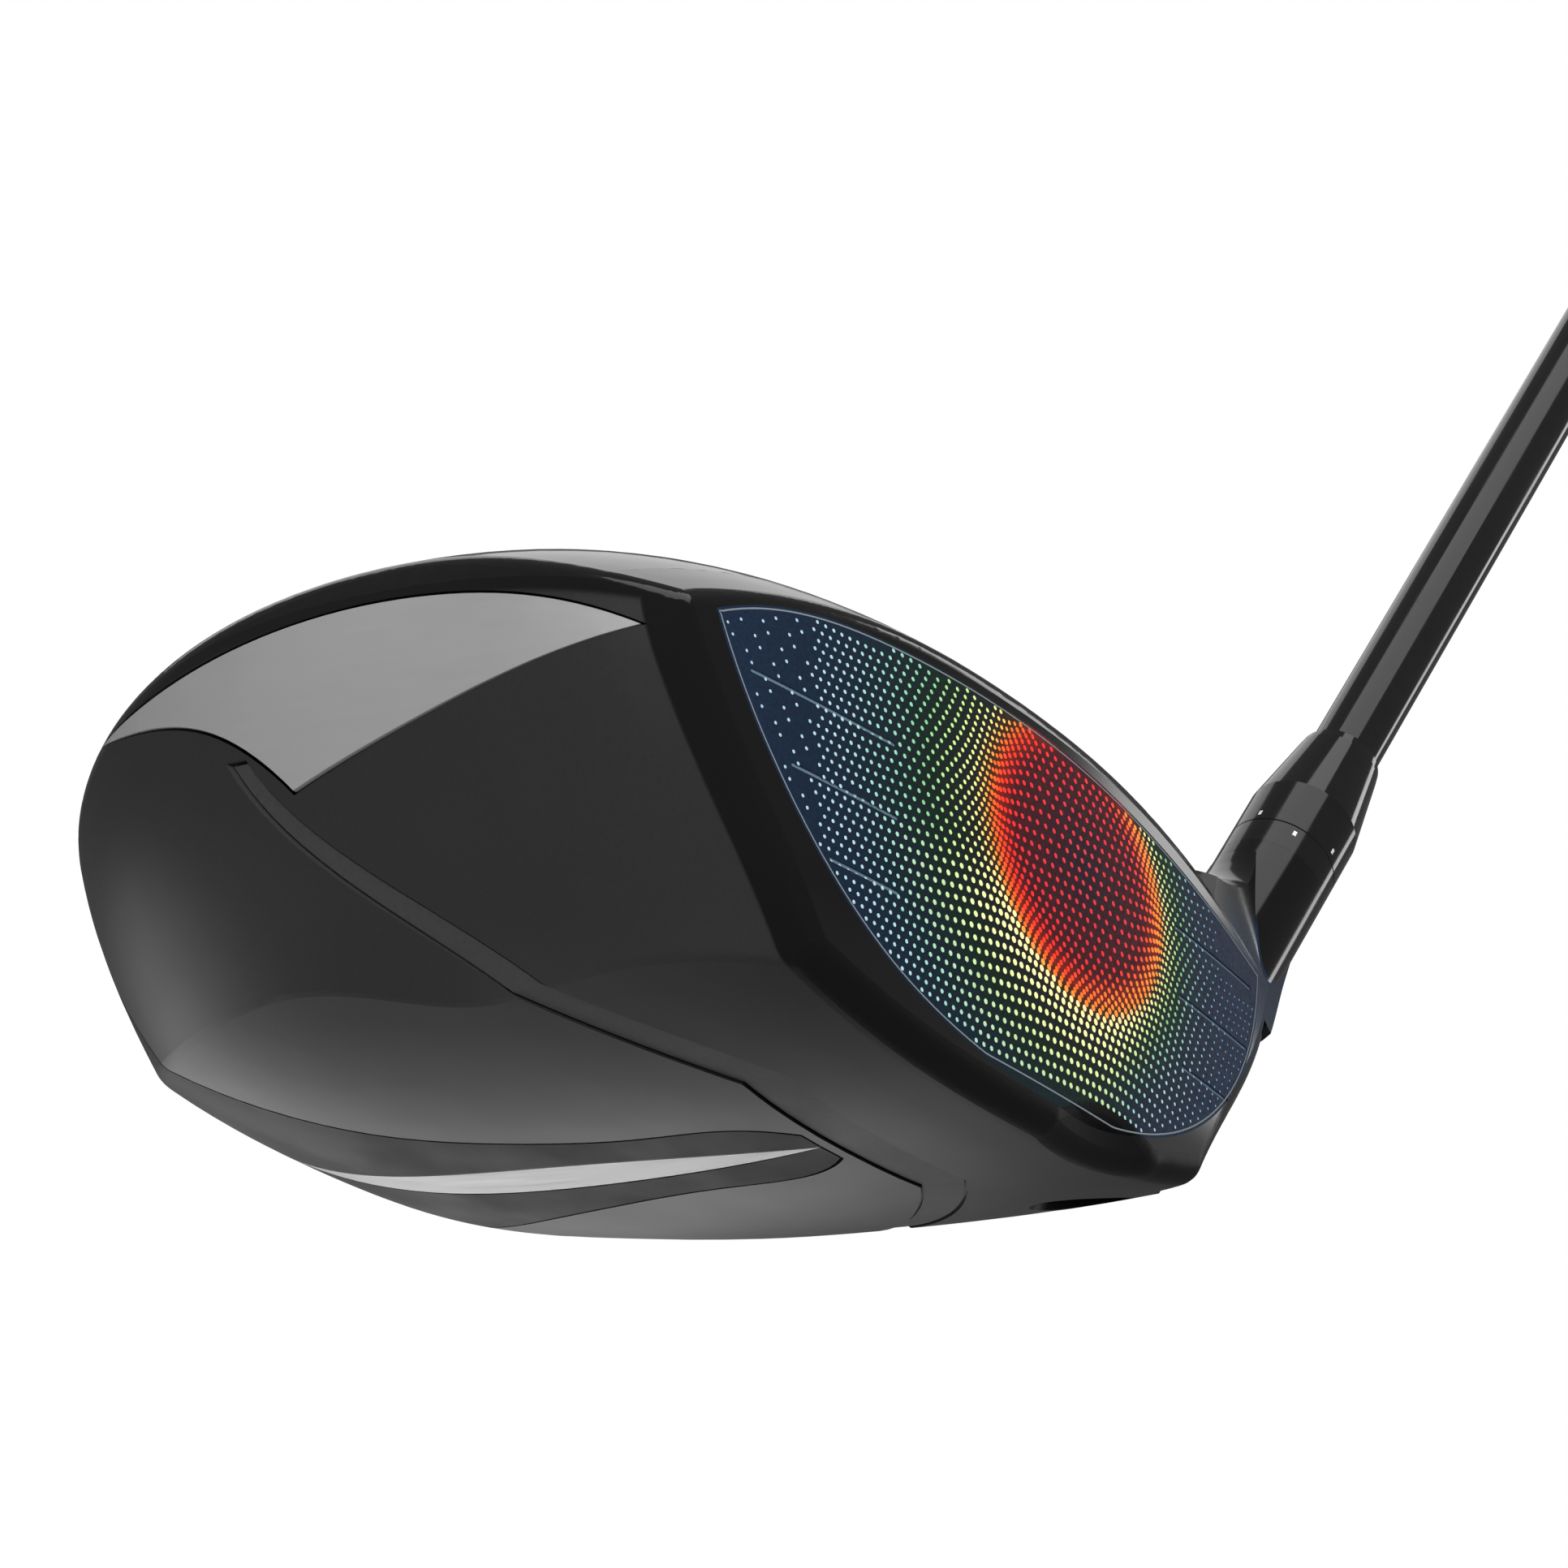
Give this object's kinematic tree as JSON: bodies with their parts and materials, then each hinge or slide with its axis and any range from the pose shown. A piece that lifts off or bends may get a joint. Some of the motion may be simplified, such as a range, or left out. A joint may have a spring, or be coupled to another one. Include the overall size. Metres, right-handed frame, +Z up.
{
  "type": "golf driver",
  "caption": "Golf driver: hollow rounded head with patterned face, dark skirt, silver badge, adjustable hosel, tapered shaft and rubber grip.",
  "frame": {"origin": "on the ground under the middle of the face, with the club soled at its lie angle", "axes": "-Y is the target direction the face looks along, +X points from toe to heel, +Z is up; the shaft leans towards +X"},
  "size_m": [0.7164, 0.1155, 0.9871],
  "materials": {
    "body_satin": "satin dark grey coating on cast titanium",
    "crown_gloss": "gloss black composite crown",
    "face_print": "dark navy face with a printed dot pattern",
    "badge_silver": "brushed silver grey",
    "panel_black": "matte charcoal",
    "stripe_silver": "satin silver",
    "channel_grey": "matte dark grey elastomer",
    "hot_melt": "tacky amber adhesive",
    "weight_dark": "dark plated dense alloy",
    "seal_rubber": "soft black rubber",
    "fastener_steel": "bright steel",
    "hosel_black": "gloss black anodised",
    "ferrule_gloss": "gloss black",
    "shaft_gloss": "gloss black clear-coated graphite",
    "tip_brass": "bare brass",
    "tape": "paper tape",
    "grip_rubber": "matte black textured rubber",
    "cap_rubber": "firm matte rubber"
  },
  "bodies": {
    "head": {"sole_body": "body_satin", "crown_shell": "crown_gloss", "face_plate": "face_print", "toe_badge": "badge_silver", "tail_panel": "panel_black", "sole_stripe": "stripe_silver", "channel_fill": "channel_grey", "damping_pad": "hot_melt"},
    "ring": {"hosel_ring": "hosel_black"},
    "sleeve_foot": {"thread_insert": "fastener_steel"},
    "shaft_assembly": {"hosel_sleeve": "hosel_black", "ferrule": "ferrule_gloss", "shaft": "shaft_gloss", "tip_plug": "tip_brass", "grip_tape": "tape", "grip": "grip_rubber", "grip_cap": "cap_rubber"},
    "screw_carrier": {"screw_washer": "fastener_steel"},
    "screw": {"hosel_screw": "fastener_steel"},
    "weight_carrier": {"weight_seal": "seal_rubber"},
    "weight": {"rear_weight": "weight_dark"}
  },
  "joints": [
    {"name": "ring_turn", "type": "hinge", "parent": "head", "child": "ring", "pos_m": [0.06497, 0.0136, 0.05597], "axis": [0.5299, 0, 0.848], "continuous": true},
    {"name": "shaft_draw", "type": "slide", "parent": "head", "child": "sleeve_foot", "axis": [0.5299, 0, 0.848], "range_m": [0, 0.045]},
    {"name": "shaft_turn", "type": "hinge", "parent": "sleeve_foot", "child": "shaft_assembly", "pos_m": [0.06709, 0.0136, 0.05936], "axis": [0.5299, 0, 0.848], "continuous": true},
    {"name": "screw_travel", "type": "slide", "parent": "head", "child": "screw_carrier", "axis": [-0.5299, 0, -0.848], "range_m": [0, 0.0064]},
    {"name": "screw_turn", "type": "hinge", "parent": "screw_carrier", "child": "screw", "pos_m": [0.0406, 0.0136, 0.01696], "axis": [-0.5299, 0, -0.848], "range_deg": [0, 2880]},
    {"name": "weight_travel", "type": "slide", "parent": "head", "child": "weight_carrier", "axis": [0, 0.9063, -0.4226], "range_m": [0, 0.006]},
    {"name": "weight_turn", "type": "hinge", "parent": "weight_carrier", "child": "weight", "pos_m": [-0.0045, 0.11005, 0.0182], "axis": [0, 0.9063, -0.4226], "range_deg": [0, 2160]}
  ],
  "couplings": [
    {"joint": "screw_turn", "follows": "screw_travel", "rad_per_m": 7854},
    {"joint": "weight_turn", "follows": "weight_travel", "rad_per_m": 6283.2}
  ]
}
